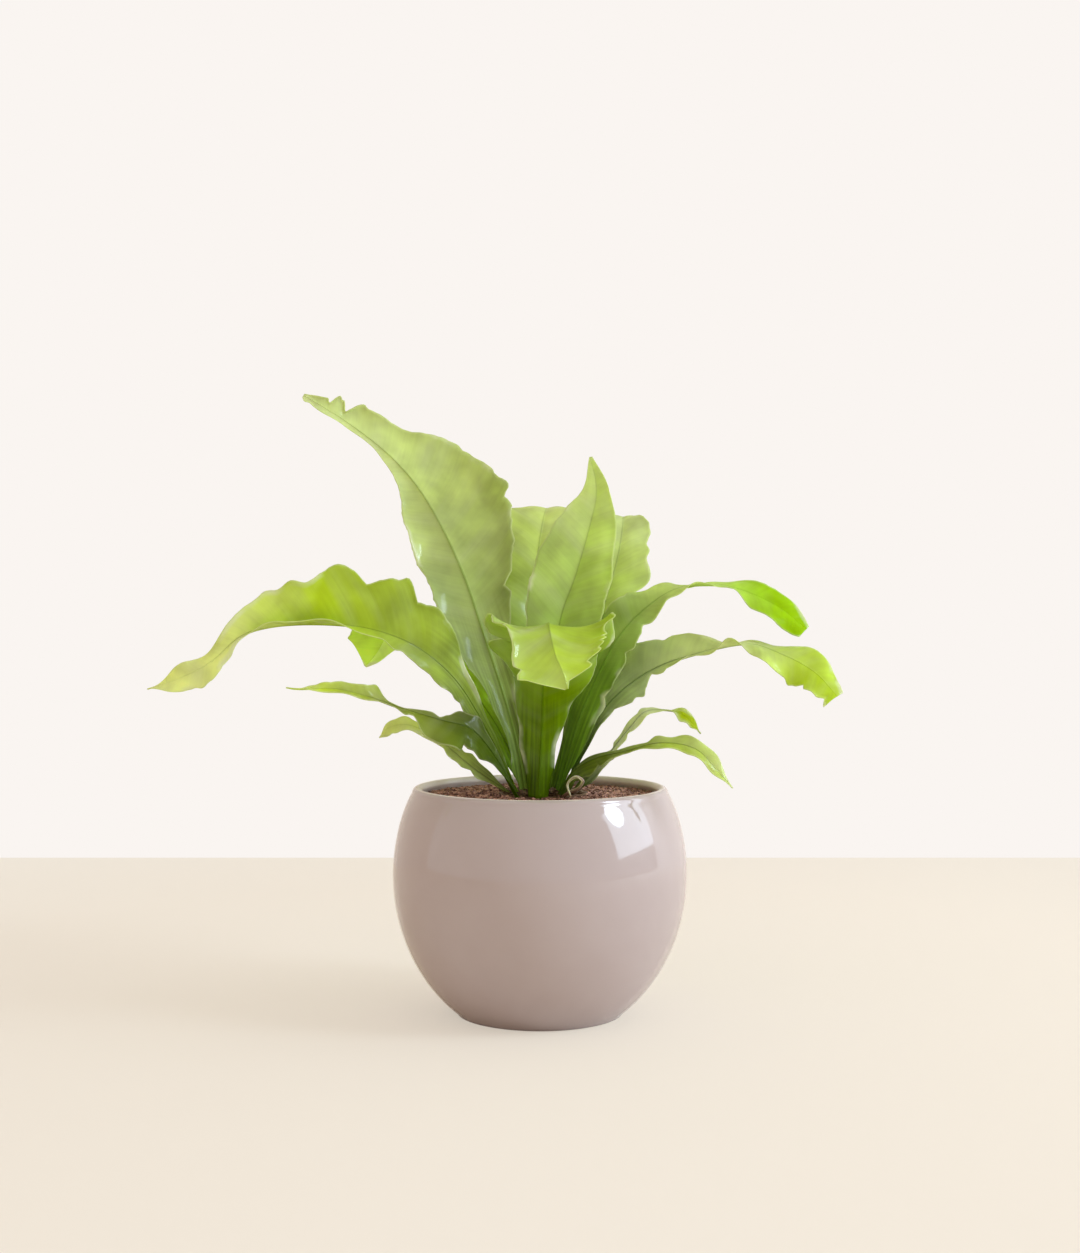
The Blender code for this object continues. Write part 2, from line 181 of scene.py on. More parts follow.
# --- Pot ---------------------------------------------------------------------------------------------------
# A thrown stoneware ball pot, dipped in a glossy taupe glaze. The foot is flat, the wall swells to a belly
# and turns in to a rounded lip. Its profile is in mm, as radius and height.
FOOT_RADIUS = 52.5
FOOT_EDGE = (FOOT_RADIUS + 1.3, 0.4)
LOWER_CURVE = ((54.5, 1.5), (77.0, 19.0), (95.5, 51.0), (95.5, 90.0))
UPPER_CURVE = ((95.5, 90.0), (95.5, 112.0), (89.5, 133.0), (83.1, 143.7))
LIP_THICKNESS = 6.6
POT_WALL = 5.5
FLOOR_THICKNESS = 8.0
CURVE_STEPS = 22
LIP_STEPS = 12
POT_SEGMENTS = 144
SEAM_MERGE = 0.00001
GLAZE_AT_FOOT = 0xA89794
GLAZE_ABOVE = 0xB2A3A1
GLAZE_MOTTLE = 0xB9ACAC
GLAZE_RISE = {"From Min": 0.0, "From Max": 0.11}  # the height over which the foot's colour gives way
MOTTLE_SCALE = 14.0  # clouds in the glaze, 70 mm wide
ORANGE_PEEL_SCALE = 900.0  # ripples of the fired skin, 1.1 mm wide
GLAZE_IOR = 1.68  # it mirrors the pale room more than plain glass would
# Painted light: the paler glaze inside the mouth lifts the shade that the leaves cast there.
MOUTH_GLAZE_PAINTED_LIGHTER = 0xE6DAD2
MOUTH_HEIGHT = 0.130
MOUTH_EDGE = {"From Min": 0.0805, "From Max": 0.0815, "To Min": 1.0, "To Max": 0.0}  # the lip's middle radius
MOUTH_ROUGHNESS = {"To Min": 0.07, "To Max": 0.5}  # outside, then inside


def bezier(points, steps):
    """Points on a cubic Bezier curve, both ends included."""
    a, b, c, d = np.array(points, float)
    t = np.linspace(0.0, 1.0, steps + 1)[:, None]
    return (1 - t) ** 3 * a + 3 * t * (1 - t) ** 2 * b + 3 * t * t * (1 - t) * c + t**3 * d


def turned(profile, segments):
    """A closed solid turned about Z from (radius, height) points in mm that start and end on the axis."""
    shape = bmesh.new()
    points = [shape.verts.new((radius * MM, 0.0, height * MM)) for radius, height in profile]
    edges = [shape.edges.new(pair) for pair in zip(points, points[1:])]
    bmesh.ops.spin(
        shape,
        geom=points + edges,
        cent=(0, 0, 0),
        axis=(0, 0, 1),
        angle=math.tau,
        steps=segments,
        use_merge=True,
    )
    bmesh.ops.remove_doubles(shape, verts=shape.verts, dist=SEAM_MERGE)
    bmesh.ops.recalc_face_normals(shape, faces=shape.faces)
    return shape


def inner_wall(steps):
    """The inside of the pot from its floor up to the lip."""
    lower = np.array(LOWER_CURVE) - (POT_WALL, 0.0)
    lower[:2, 1] += (FLOOR_THICKNESS - lower[0, 1], FLOOR_THICKNESS / 2)
    upper = np.array(UPPER_CURVE) - (POT_WALL, 0.0)
    upper[3, 0] = UPPER_CURVE[3][0] - LIP_THICKNESS
    return np.vstack([bezier(lower, steps), bezier(upper, steps)[1:]])


def glazed_stoneware():
    """Glossy taupe glaze over stoneware: a mirror-like skin on a faintly clouded body, warmer at the foot.

    Inside the mouth it is duller, and its glaze is painted paler: painted light against the shade that the
    leaves cast there.
    """
    look, tree = new_material("glazed_stoneware")
    place = add_node(tree, "ShaderNodeTexCoord").outputs["Object"]
    mottle = add_node(
        tree, "ShaderNodeTexNoise", {"Vector": place, "Scale": MOTTLE_SCALE, "Detail": 3.0, "Roughness": 0.6}
    ).outputs["Fac"]
    height = add_node(tree, "ShaderNodeSeparateXYZ", {"Vector": place}).outputs["Z"]
    rise = add_node(tree, "ShaderNodeMapRange", {"Value": height, **GLAZE_RISE}).outputs[0]
    body = add_node(
        tree, "ShaderNodeMix", {0: rise, 6: linear(GLAZE_AT_FOOT), 7: linear(GLAZE_ABOVE)}, data_type="RGBA"
    ).outputs[2]
    shade = add_node(
        tree, "ShaderNodeMix", {0: mottle, 6: body, 7: linear(GLAZE_MOTTLE)}, data_type="RGBA"
    ).outputs[2]
    level = add_node(tree, "ShaderNodeVectorMath", {0: place, 1: (1.0, 1.0, 0.0)}, operation="MULTIPLY")
    radius = add_node(tree, "ShaderNodeVectorMath", {0: level.outputs[0]}, operation="LENGTH")
    within = add_node(tree, "ShaderNodeMapRange", {"Value": radius.outputs["Value"], **MOUTH_EDGE}).outputs[0]
    above = add_node(tree, "ShaderNodeMath", {0: height, 1: MOUTH_HEIGHT}, operation="GREATER_THAN")
    inside = add_node(
        tree, "ShaderNodeMath", {0: within, 1: above.outputs[0]}, operation="MULTIPLY"
    ).outputs[0]
    shade = add_node(tree, "ShaderNodeMix", {0: inside, 6: shade, 7: linear(MOUTH_GLAZE_PAINTED_LIGHTER)}, data_type="RGBA")
    roughness = add_node(tree, "ShaderNodeMapRange", {"Value": inside, **MOUTH_ROUGHNESS}).outputs[0]
    peel = add_node(tree, "ShaderNodeTexNoise", {"Vector": place, "Scale": ORANGE_PEEL_SCALE, "Detail": 2.0})
    ripple = add_node(
        tree, "ShaderNodeBump", {"Height": peel.outputs["Fac"], "Strength": 0.03, "Distance": 0.0002}
    ).outputs["Normal"]
    skin = add_node(
        tree,
        "ShaderNodeBsdfPrincipled",
        {"Base Color": shade.outputs[2], "Roughness": roughness, "IOR": GLAZE_IOR, "Normal": ripple},
    )
    add_node(tree, "ShaderNodeOutputMaterial", {"Surface": skin.outputs[0]})
    return look


def pot_shape():
    """The wall's outside, the rolled lip and the wall's inside, turned as one shell."""
    outer = np.vstack([bezier(LOWER_CURVE, CURVE_STEPS), bezier(UPPER_CURVE, CURVE_STEPS)[1:]])
    roll = LIP_THICKNESS / 2
    middle, height = UPPER_CURVE[3][0] - roll, UPPER_CURVE[3][1]
    angles = np.linspace(0.0, math.pi, LIP_STEPS + 1)[1:-1]
    lip = [(middle + roll * math.cos(angle), height + roll * math.sin(angle)) for angle in angles]
    foot = [(0.0, 0.0), (FOOT_RADIUS, 0.0), FOOT_EDGE]
    return turned([*foot, *outer, *lip, *inner_wall(CURVE_STEPS)[::-1], (0.0, FLOOR_THICKNESS)], POT_SEGMENTS)


pot = finish_object("glazed_pot", pot_shape(), glazed_stoneware())
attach(pot, "root")
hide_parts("pot")

# --- Potting mix -------------------------------------------------------------------------------------------
# Damp coco and bark fines fill the pot to a finger's width below the lip. The bed is one uneven surface,
# with loose chips, 1.5 to 4 mm long, lying on it. Sizes are in mm.
MIX_HEIGHT = 142.0
MIX_EDGE_HEIGHT = 140.0
MIX_FLAT_RADIUS = 35.0
MIX_RADIUS = 82.0
MIX_CLEARANCE = 0.4  # between the bed and the wall
MIX_BASE = FLOOR_THICKNESS + 0.3
MIX_RINGS = 40
MIX_SHOULDER = 0.5  # how far below the top's edge the side ends
MIX_TOP = MIX_EDGE_HEIGHT - 0.2  # points above this height are the bed's top
DIMPLES = (-1.2, 0.2)  # how far a point of the bed's top sinks or rises
BED_COLOURS = (0x3A2018, 0x8A5846)
CHIP_COLOURS = (0x522E26, 0xD4A28C)
GRAIN_SCALE = 420.0  # each grain with a shade of its own, 2.4 mm wide
CHIP_COUNT = 3200
CHIP_REACH = 79.0
CHIP_SPREAD = (0.1, 1.0)  # as shares of the bed's area, from the middle, which the crown covers
CHIP_LONG = (1.5, 4.0)
CHIP_WIDE = (0.4, 0.9)  # as shares of its length
CHIP_THICK = (0.25, 0.6)
CHIP_TILT = 0.6
CHIP_RAISE = 0.15  # as a share of its thickness
CHIP_JAG = 0.12  # how far each corner is out of true, as a share of its length


def mix_height(radius):
    """Height of the bed over a distance from the axis, mm."""
    slope = (MIX_HEIGHT - MIX_EDGE_HEIGHT) / (MIX_RADIUS - MIX_FLAT_RADIUS)
    return MIX_HEIGHT - slope * max(radius - MIX_FLAT_RADIUS, 0.0)


def bark_mix(name, colours):
    """Composted bark and coco, damp and matt: each grain has its own brown, and the grains are bumped."""
    look, tree = new_material(name)
    place = add_node(tree, "ShaderNodeTexCoord").outputs["Object"]
    grains = add_node(tree, "ShaderNodeTexVoronoi", {"Vector": place, "Scale": GRAIN_SCALE})
    shade = add_node(tree, "ShaderNodeSeparateColor", {"Color": grains.outputs["Color"]}).outputs[0]
    tone = add_node(
        tree, "ShaderNodeMix", {0: shade, 6: linear(colours[0]), 7: linear(colours[1])}, data_type="RGBA"
    ).outputs[2]
    rough = add_node(
        tree, "ShaderNodeBump", {"Height": grains.outputs["Distance"], "Strength": 0.6, "Distance": 0.001}
    ).outputs["Normal"]
    bark = add_node(
        tree, "ShaderNodeBsdfPrincipled", {"Base Color": tone, "Roughness": 0.85, "Normal": rough}
    ).outputs[0]
    add_node(tree, "ShaderNodeOutputMaterial", {"Surface": bark})
    return look


def mix_bed():
    """The bed with its sides against the pot, dimpled on top."""
    wall = inner_wall(CURVE_STEPS) - (MIX_CLEARANCE, 0.0)
    wall[:, 1] = np.maximum(wall[:, 1], MIX_BASE)
    below = wall[wall[:, 1] < MIX_EDGE_HEIGHT - MIX_SHOULDER]
    edge = float(np.interp(MIX_EDGE_HEIGHT, wall[:, 1], wall[:, 0]))
    top = [(radius, mix_height(radius)) for radius in np.linspace(edge, 0.0, MIX_RINGS)]
    shape = turned([(0.0, MIX_BASE), *below, *top], POT_SEGMENTS)
    chance = random.Random(4)
    for point in shape.verts:
        if point.co.z > MIX_TOP * MM:
            point.co.z += chance.uniform(*DIMPLES) * MM
    return shape


def loose_chips():
    """Angular chips scattered over the bed, turned and tilted at random."""
    pebble = bmesh.new()
    bmesh.ops.create_icosphere(pebble, subdivisions=1, radius=0.5 * MM)
    corners = [point.co.copy() for point in pebble.verts]
    sides = [[point.index for point in face.verts] for face in pebble.faces]
    pebble.free()
    chance = random.Random(9)
    shape = bmesh.new()
    for _ in range(CHIP_COUNT):
        radius = CHIP_REACH * math.sqrt(chance.uniform(*CHIP_SPREAD))
        angle = chance.uniform(0.0, math.tau)
        long = chance.uniform(*CHIP_LONG)
        size = Vector((long, long * chance.uniform(*CHIP_WIDE), long * chance.uniform(*CHIP_THICK)))
        turn = Matrix.Rotation(chance.uniform(0, math.tau), 3, "Z")
        turn = turn @ Matrix.Rotation(chance.uniform(-CHIP_TILT, CHIP_TILT), 3, "X")
        height = mix_height(radius) + CHIP_RAISE * size.z
        place = Vector((radius * math.cos(angle), radius * math.sin(angle), height)) * MM
        jag = CHIP_JAG * long * MM
        points = []
        for corner in corners:
            out_of_true = Vector([chance.uniform(-jag, jag) for _ in range(3)])
            points.append(shape.verts.new(place + turn @ (corner * size) + out_of_true))
        for side in sides:
            shape.faces.new([points[i] for i in side])
    return shape


bed = finish_object("mix_bed", mix_bed(), bark_mix("damp_coco_fines", BED_COLOURS))
chips = finish_object("bark_chips", loose_chips(), bark_mix("bark_chips", CHIP_COLOURS), smooth=False)
for piece in (bed, chips):
    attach(piece, "root")
    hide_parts("potting_mix")

# --- Crown -------------------------------------------------------------------------------------------------
# The fern's short rhizome: a low brown dome wrapped in overlapping papery scales. The fronds grow from it
# and hide nearly all of it. Sizes are in mm.
CROWN_CENTRE = (2.0, 0.0)
CROWN_RADIUS = 29.0
CROWN_BASE = 142.3
CROWN_EDGE = 0.6
CROWN_RISE = 1.5
CROWN_RINGS = 16
CROWN_SEGMENTS = 48
SCALE_COUNT = 260
SCALE_REACH = CROWN_RADIUS - 2.0
SCALE_SPREAD = (0.02, 1.0)
SCALE_LONG = (4.0, 8.0)
SCALE_NARROWNESS = 3.5  # its length over its width
SCALE_HALF_THICKNESS = 0.35
SCALE_RAISE = 0.4
SCALE_TURN = 0.5
SCALE_TILT = -0.25
RHIZOME_COLOURS = (0x2A1A0E, 0x7A5A34)
FIBRE_SCALE = 350.0  # fibres of the scales, 3 mm long


def crown_top(x, y):
    """Height of the crown's dome over a point, mm."""
    share = ((x - CROWN_CENTRE[0]) ** 2 + (y - CROWN_CENTRE[1]) ** 2) / CROWN_RADIUS**2
    return CROWN_BASE + CROWN_EDGE + CROWN_RISE * (1.0 - min(share, 1.0))


def scaly_rhizome():
    """Dry rhizome scales: papery, matt and brown, with paler fibres."""
    look, tree = new_material("scaly_rhizome")
    place = add_node(tree, "ShaderNodeTexCoord").outputs["Object"]
    fibre = add_node(
        tree, "ShaderNodeTexNoise", {"Vector": place, "Scale": FIBRE_SCALE, "Detail": 4.0}
    ).outputs["Fac"]
    dark, pale = RHIZOME_COLOURS
    tone = add_node(tree, "ShaderNodeMix", {0: fibre, 6: linear(dark), 7: linear(pale)}, data_type="RGBA")
    rough = add_node(tree, "ShaderNodeBump", {"Height": fibre, "Strength": 0.5, "Distance": 0.0008})
    skin = add_node(
        tree,
        "ShaderNodeBsdfPrincipled",
        {"Base Color": tone.outputs[2], "Roughness": 0.8, "Normal": rough.outputs["Normal"]},
    )
    add_node(tree, "ShaderNodeOutputMaterial", {"Surface": skin.outputs[0]})
    return look


def crown_shape():
    """The dome, with narrow scales lying on it that point outwards."""
    rise = CROWN_BASE + CROWN_EDGE
    shares = np.linspace(1.0, 0.0, CROWN_RINGS)
    dome = [(CROWN_RADIUS * share, rise + CROWN_RISE * (1.0 - share * share)) for share in shares]
    shape = turned([(0.0, CROWN_BASE), (CROWN_RADIUS, CROWN_BASE), *dome], CROWN_SEGMENTS)
    bmesh.ops.translate(shape, verts=shape.verts, vec=(CROWN_CENTRE[0] * MM, CROWN_CENTRE[1] * MM, 0.0))
    chance = random.Random(21)
    for _ in range(SCALE_COUNT):
        angle = chance.uniform(0.0, math.tau)
        radius = SCALE_REACH * math.sqrt(chance.uniform(*SCALE_SPREAD))
        x, y = CROWN_CENTRE[0] + radius * math.cos(angle), CROWN_CENTRE[1] + radius * math.sin(angle)
        half = chance.uniform(*SCALE_LONG) / 2
        size = Vector((half, half / SCALE_NARROWNESS, SCALE_HALF_THICKNESS)) * MM
        turn = Matrix.Rotation(angle + chance.uniform(-SCALE_TURN, SCALE_TURN), 4, "Z")
        turn = turn @ Matrix.Rotation(SCALE_TILT, 4, "Y")
        place = Matrix.Translation(Vector((x, y, crown_top(x, y) + SCALE_RAISE)) * MM)
        bmesh.ops.create_icosphere(
            shape, subdivisions=1, radius=1.0, matrix=place @ turn @ Matrix.Diagonal((*size, 1.0))
        )
    return shape


crown = finish_object("scaly_crown", crown_shape(), scaly_rhizome())
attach(crown, "root")
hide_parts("crown")

# --- Fronds ------------------------------------------------------------------------------------------------
# Undivided strap fronds, each one leathery blade on a ribbed stalk that runs on as the midrib. Fine side
# veins leave the midrib at a slant, and the margins are ruffled. Each frond is dark at its stalk, partly its
# own colour and partly painted shade deep in the rosette, and paler towards its tip. Sizes are in mm.
STEPS_PER_STATION = 18
HALF_COLUMNS = np.concatenate([(0.0, 0.012, 0.03), np.linspace(0.06, 1.0, 14)])  # closest at the midrib
LEAST_WIDTH = 0.3
RUFFLE_LENGTH = 60.0  # the ruffle grows to its full height over this length of stalk
RUFFLE_WIDTH = 10.0  # and dies away where a half blade is narrower than this
MARGIN_SHIFT = 1.3  # radians by which the two margins' waves are out of step
MARGIN_ROLL = 0.06  # how far the margins curl up, as a share of the half blade's width
ROLL_START = 0.7  # and where across the half blade the curl begins
FRAYING = ((0.030, 9.0, 5), (0.018, 3.5, 7))  # each margin's nicks: share of its width, length and draw
WAVE_DRIFT = (1.6, 1.1)  # the waves wander off their beat over this many waves, by this many radians
WAVE_HEIGHT = (1.3, 0.5)  # and change in height over this many waves, by this share
SWELL = (23.0, 0.5, 0.7)  # slow swells: their length, share of the ruffle, and lag across the half blade
ROLL_LENGTH = 31.0  # the curl of a margin comes and goes over this length
NOISE_GAIN = 1.6  # Blender's noise itself stays within about 0.6
BLADE_THICKNESS = 0.45
RIB_THICKNESS = 2.4
RIB_HALF_WIDTH = 0.9
RIB_TAPER = 0.75
SEED_STEP = 2.7

# Each frond: the heading it grows towards (0 is +X, 90 is +Y), the height and wavelength of its ruffled
# margins, the bow of each half blade, and its stations from base to tip, all in mm and degrees. A station
# gives the midrib's x, y, z, then the width and lift of the left half blade, then those of the right half.
# A mark is a lobe or a tear of one margin: its side (1 is left, -1 right), its distance along, its half
# length, and how far it stands out.
FRONDS = {
    "tall_left": dict(
        heading=105, ruffle=1.6, wave=38, phase=0.4, lobe=0.02, bow=-0.10,
        marks=(
            (-1, 136, 7, -5),
            (-1, 190, 5, -4),
            (-1, 206, 9, -3),
            (-1, 226, 18, -5),
            (-1, 288, 4, 2),
            (-1, 295, 4, -8),
            (-1, 303, 3, 3),
            (-1, 307, 2, -4),
            (1, 16, 10, 3),
            (1, 322, 4, 2),
        ),
        stations=(
            (-10, 3, 143, 4, 30, 5, 30),
            (-16, 5, 177, 8, 30, 6, 30),
            (-25, 11, 209, 14, 20, 9, 25),
            (-36, 18, 242, 22, 10, 17, 15),
            (-51, 30, 285, 27, 5, 35, 10),
            (-68, 42, 321, 25, 0, 52, 5),
            (-86, 52, 349, 13, 0, 49, 0),
            (-107, 58, 371, 5, 0, 23, 0),
            (-132, 60, 390, 4, 10, 15, 10),
            (-146, 59, 399, 5, 20, 8, 20),
            (-161, 56, 408, 1, 0, 1, 0),
        ),
    ),
    "long_left": dict(
        heading=188, ruffle=2.0, wave=42, phase=-0.9, lobe=0.04, bow=0.06,
        marks=(
            (-1, 124, 5, -5),
            (-1, 129, 5, -8),
            (-1, 137, 5, 3),
            (-1, 157, 6, -3),
            (-1, 172, 18, 10),
            (-1, 199, 9, 5),
            (-1, 212, 8, 2),
            (1, 72, 6, -3),
            (1, 93, 13, 5),
            (1, 135, 8, 4),
            (1, 252, 8, -3),
            (1, 267, 5, 2),
        ),
        stations=(
            (-15, -7, 143, 3, 20, 3, 20),
            (-33, -12, 181, 7, -30, 6, 45),
            (-50, -18, 211, 13, -40, 9, 60),
            (-66, -24, 229, 13, -45, 21, 75),
            (-87, -32, 243, 10, -45, 34, 80),
            (-113, -40, 251, 10, -15, 31, 80),
            (-143, -46, 253, 12, 15, 26, 85),
            (-169, -50, 251, 9, 10, 20, 85),
            (-186, -54, 245, 3, -30, 11, 70),
            (-203, -56, 230, 10, -65, 7, 60),
            (-222, -56, 220, 9, -70, 8, 60),
            (-243, -54, 213, 1, 0, 1, 0),
        ),
    ),
    "drooping_left": dict(
        heading=112, ruffle=2.0, wave=26, phase=0.9, lobe=0.08, bow=0.10,
        marks=(
            (1, 30, 24, 3),
            (-1, 92, 18, 6),
            (-1, 207, 3, -4),
        ),
        stations=(
            (-8, 9, 143, 3, 20, 2, 20),
            (-30, 32, 185, 10, 20, 8, 20),
            (-61, 60, 226, 14, 10, 9, 10),
            (-82, 92, 250, 18, 0, 15, 0),
            (-98, 114, 254, 22, -5, 19, -5),
            (-110, 126, 244, 28, -5, 17, -5),
            (-118, 131, 231, 25, 0, 10, 0),
            (-127, 133, 220, 1, 0, 1, 0),
        ),
    ),
    "low_left": dict(
        heading=200, ruffle=1.5, wave=24, phase=0.0, lobe=0.10, bow=0.10,
        marks=(
            (1, 62, 5, -5),
            (1, 78, 8, 3),
            (1, 98, 5, -3),
            (1, 106, 5, 4),
            (-1, 66, 7, 3),
            (-1, 80, 5, -3),
            (-1, 122, 9, 5),
            (-1, 152, 6, -2),
            (-1, 166, 6, 3),
        ),
        stations=(
            (-14, -26, 142, 3, 0, 3, 20),
            (-29, -32, 169, 9, -40, 5, 50),
            (-43, -44, 187, 17, -50, 10, 60),
            (-60, -52, 193, 18, -55, 5, 40),
            (-76, -56, 198, 10, -50, 6, 30),
            (-87, -62, 202, 3, -20, 3, 10),
            (-105, -70, 209, 6, -20, 7, 60),
            (-125, -74, 214, 5, -30, 6, 60),
            (-146, -76, 214, 2, 0, 4, 0),
            (-154, -76, 215, 0.6, 0, 0.6, 0),
        ),
    ),
    "small_left": dict(
        heading=190, ruffle=1.2, wave=20, phase=2.0, lobe=0.10, bow=0.10,
        marks=(
            (1, 30, 6, -4),
            (1, 40, 6, -1),
            (1, 52, 4, -1),
            (-1, 40, 5, -3),
            (1, 97, 6, 4),
            (-1, 82, 6, 2),
        ),
        stations=(
            (-20, -5, 143, 2, 0, 2, 20),
            (-44, -10, 160, 6, -50, 8, 50),
            (-64, -12, 177, 4, -50, 7, 50),
            (-82, -14, 187, 5, -40, 5, 40),
            (-95, -16, 187, 5, -50, 5, 50),
            (-103, -16, 180, 0.6, 0, 0.6, 0),
        ),
    ),
    "front": dict(
        heading=-90, ruffle=2.5, wave=30, phase=0.7, lobe=0.05, bow=-0.10,
        marks=(
            (1, 150, 5, 5),
            (1, 167, 5, -4),
            (1, 174, 2, -3),
            (1, 184, 3, 3),
            (1, 188, 2, -4),
            (1, 196, 5, -7),
            (-1, 98, 9, 7),
            (-1, 110, 5, -6),
            (-1, 150, 4, -6),
            (-1, 182, 3, -4),
            (-1, 188, 3, 2),
        ),
        stations=(
            (-1, -29, 142, 7, 30, 7, 30),
            (1, -26, 184, 13, 20, 16, 20),
            (2, -44, 216, 31, 15, 20, 15),
            (5, -64, 242, 40, 10, 36, 10),
            (5, -84, 254, 39, 5, 37, 5),
            (6, -106, 249, 34, 0, 25, 0),
            (9, -119, 236, 29, 0, 26, 0),
            (13, -126, 227, 18, 0, 23, 0),
            (16, -129, 217, 0.6, 0, 2, 0),
        ),
    ),
    "tall_centre": dict(
        heading=80, ruffle=1.0, wave=60, phase=0.5, lobe=0.0, bow=0.08,
        marks=(
            (-1, 32, 16, -4),
        ),
        stations=(
            (4, 7, 143, 3, 30, 3, 30),
            (9, 15, 202, 12, 20, 12, 20),
            (13, 21, 252, 23, 15, 27, 15),
            (24, 27, 285, 29, 10, 26, 10),
            (34, 32, 320, 21, 10, 18, 10),
            (38, 34, 342, 10, 5, 9, 5),
            (34, 33, 364, 1, 0, 1, 0),
        ),
    ),
    "back_left": dict(
        heading=95, ruffle=2.0, wave=34, phase=1.1, lobe=0.05, bow=0.08,
        marks=(
            (1, 212, 5, -4),
            (1, 226, 6, 3),
            (-1, 222, 5, -3),
            (1, 170, 5, -3),
        ),
        stations=(
            (-3, 14, 143, 3, 30, 3, 30),
            (-6, 34, 202, 12, 20, 12, 20),
            (-5, 60, 255, 20, 15, 20, 15),
            (-2, 80, 296, 25, 5, 24, 5),
            (2, 96, 323, 26, 0, 24, 0),
            (5, 118, 334, 20, 0, 20, 0),
            (7, 146, 327, 2, 0, 2, 0),
        ),
    ),
    "back_right": dict(
        heading=75, ruffle=2.0, wave=34, phase=2.1, lobe=0.05, bow=0.08,
        marks=(
            (-1, 160, 18, 5),
            (-1, 180, 8, 3),
            (-1, 198, 6, 1),
            (-1, 220, 14, -7),
        ),
        stations=(
            (8, 14, 143, 2, 30, 3, 30),
            (25, 36, 201, 5, 20, 12, 20),
            (41, 60, 255, 19, 15, 19, 15),
            (53, 80, 293, 22, 5, 21, 5),
            (58, 98, 316, 21, 0, 19, 0),
            (60, 120, 328, 17, 0, 16, 0),
            (62, 150, 322, 2, 0, 2, 0),
        ),
    ),
    "high_right": dict(
        heading=10, ruffle=2.0, wave=32, phase=0.3, lobe=0.05, bow=0.08,
        marks=(
            (-1, 70, 6, -3),
            (-1, 102, 6, -4),
            (-1, 126, 6, -3),
            (-1, 185, 5, 3),
            (1, 142, 10, 4),
        ),
        stations=(
            (12, -6, 143, 4, 20, 4, 0),
            (25, -8, 189, 9, 45, 11, -60),
            (38, -6, 220, 16, 50, 13, -60),
            (50, -2, 242, 18, 50, 13, -60),
            (66, 6, 260, 18, 50, 10, -50),
            (89, 16, 275, 14, 15, 10, -5),
            (114, 22, 278, 9, 0, 10, 0),
            (136, 24, 274, 11, 45, 13, -30),
            (159, 22, 263, 12, 60, 16, -50),
            (176, 18, 249, 4, 40, 10, -50),
        ),
    ),
    "mid_right": dict(
        heading=-5, ruffle=2.5, wave=36, phase=1.3, lobe=0.08, bow=0.08,
        marks=(
            (-1, 64, 12, -6),
            (-1, 86, 6, 4),
            (-1, 100, 8, -6),
            (-1, 111, 8, -3),
            (-1, 128, 6, -2),
            (-1, 205, 5, 2),
            (-1, 216, 4, -3),
            (-1, 234, 3, -4),
            (1, 116, 5, -3),
            (1, 148, 12, 3),
        ),
        stations=(
            (17, 2, 143, 3, 20, 3, 0),
            (34, 10, 182, 8, 40, 8, -30),
            (50, 16, 204, 16, 50, 12, -50),
            (73, 20, 221, 22, 60, 8, -60),
            (99, 20, 231, 18, 50, 5, -10),
            (135, 16, 239, 10, 5, 12, 0),
            (160, 8, 232, 12, 45, 15, -65),
            (179, 0, 221, 14, 55, 14, -70),
            (192, -8, 206, 5, 50, 12, -70),
        ),
    ),
    "thin_right": dict(
        heading=5, ruffle=1.5, wave=16, phase=0.8, lobe=0.10, bow=0.05,
        marks=(
            (1, 40, 4, -3),
            (-1, 36, 4, 2),
            (-1, 54, 4, -2),
            (1, 72, 4, 2),
            (-1, 108, 4, 2),
        ),
        stations=(
            (20, -7, 143, 2, 20, 2, 0),
            (31, -4, 152, 4, 40, 4, -40),
            (40, -2, 162, 4, 40, 4, -40),
            (50, 0, 174, 3, 40, 3, -40),
            (59, 2, 185, 4, 40, 4, -40),
            (69, 4, 195, 4, 30, 4, -30),
            (84, 6, 196, 2, 0, 3, 0),
            (95, 6, 192, 6, 50, 6, -50),
            (105, 4, 181, 1, 0, 1, 0),
        ),
    ),
    "low_right": dict(
        heading=-25, ruffle=1.5, wave=22, phase=1.9, lobe=0.10, bow=0.10,
        marks=(
            (-1, 22, 5, -4),
            (-1, 34, 5, 2),
            (-1, 42, 4, -4),
            (-1, 60, 5, -2),
            (1, 76, 5, -2),
        ),
        stations=(
            (12, -14, 143, 3, 20, 6, -40),
            (22, -26, 159, 5, 30, 11, -50),
            (36, -34, 168, 6, 30, 9, -50),
            (54, -42, 173, 5, 30, 5, -20),
            (75, -50, 179, 6, 40, 6, -30),
            (96, -56, 176, 7, 45, 6, -30),
            (109, -58, 163, 5, 40, 4, -30),
            (119, -58, 152, 0.6, 0, 0.6, 0),
        ),
    ),
    "rear_left": dict(
        heading=106, ruffle=2.0, wave=30, phase=0.2, lobe=0.05, bow=0.08,
        stations=(
            (-8, 17, 143, 2, 20, 2, 20),
            (-14, 52, 180, 9, 15, 9, 15),
            (-24, 92, 206, 16, 10, 16, 10),
            (-34, 130, 214, 19, 5, 19, 5),
            (-42, 162, 204, 16, 0, 16, 0),
            (-46, 182, 188, 1, 0, 1, 0),
        ),
    ),
    "rear_centre": dict(
        heading=88, ruffle=2.0, wave=32, phase=1.7, lobe=0.05, bow=0.08,
        stations=(
            (2, 20, 143, 3, 20, 3, 20),
            (4, 62, 200, 11, 15, 11, 15),
            (8, 104, 232, 20, 10, 20, 10),
            (12, 146, 236, 22, 5, 22, 5),
            (16, 184, 218, 17, 0, 17, 0),
            (18, 204, 198, 1, 0, 1, 0),
        ),
    ),
    "rear_right": dict(
        heading=72, ruffle=2.0, wave=30, phase=2.6, lobe=0.05, bow=0.08,
        stations=(
            (13, 15, 143, 2, 20, 2, 20),
            (26, 50, 186, 9, 15, 9, 15),
